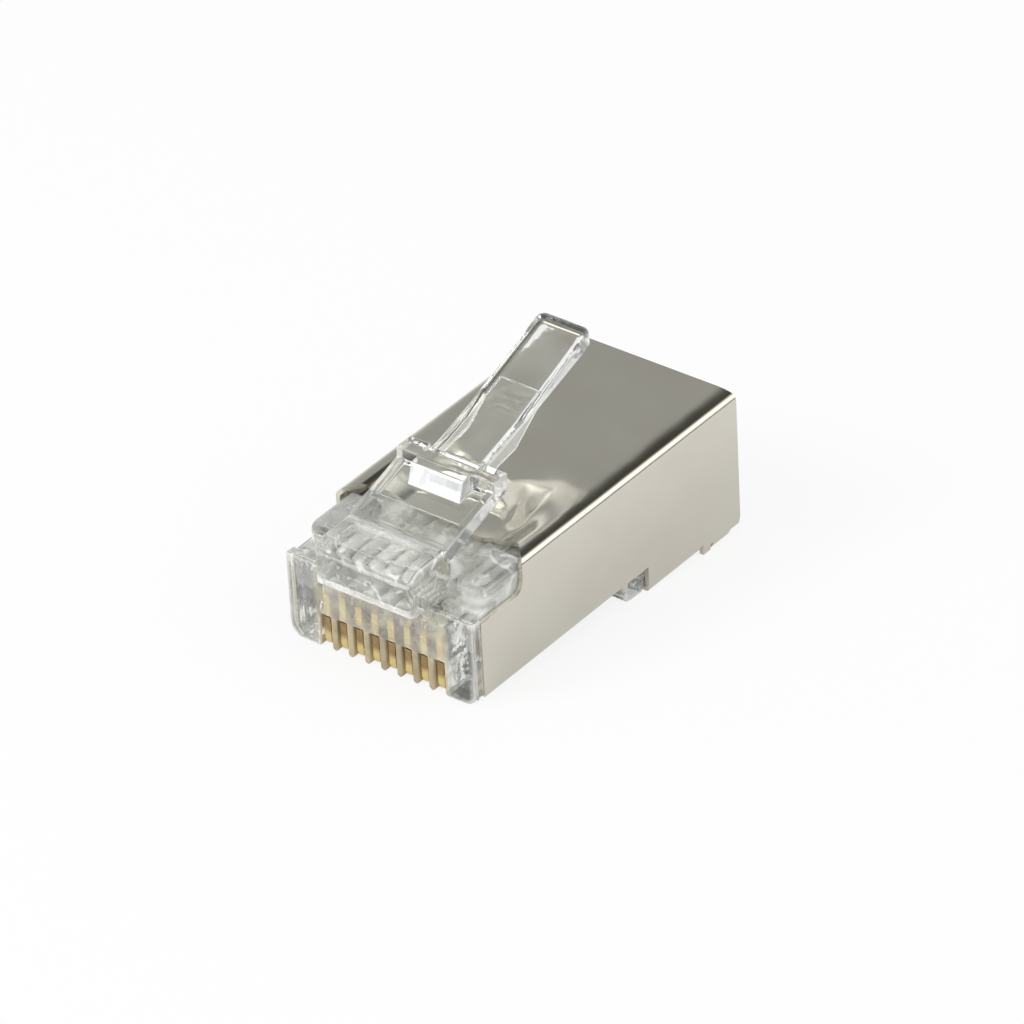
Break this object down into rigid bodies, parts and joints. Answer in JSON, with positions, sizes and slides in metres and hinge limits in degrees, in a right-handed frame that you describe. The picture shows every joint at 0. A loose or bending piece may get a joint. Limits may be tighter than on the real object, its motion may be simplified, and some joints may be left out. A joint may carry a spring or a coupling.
{
  "type": "shielded rj45 modular plug",
  "caption": "Shielded clear modular plug with gold blade contacts, folded metal shell and a sprung latch lever.",
  "frame": {"origin": "on the ground plane, under the middle of the plug's box", "axes": "+Y from the mating face towards the cable entry, +Z towards the latch, X across the plug"},
  "size_m": [0.0116, 0.0232, 0.0139],
  "materials": {
    "clear_plastic": "clear polycarbonate, slightly milky, glossy",
    "nickel_plate": "bright nickel plate on rolled sheet",
    "gold_plate": "bright gold plate on stamped blade"
  },
  "bodies": {
    "plug": {"housing": "clear_plastic", "shield": "nickel_plate", "contact_1": "gold_plate", "contact_2": "gold_plate", "contact_3": "gold_plate", "contact_4": "gold_plate", "contact_5": "gold_plate", "contact_6": "gold_plate", "contact_7": "gold_plate", "contact_8": "gold_plate"},
    "lever": {"latch": "clear_plastic"}
  },
  "joints": [
    {"name": "latch_hinge", "type": "hinge", "parent": "plug", "child": "lever", "pos_m": [0, -0.0084, 0.00868], "axis": [-1, 0, 0], "range_deg": [0, 14], "stiffness_Nm_per_rad": 0.2}
  ]
}
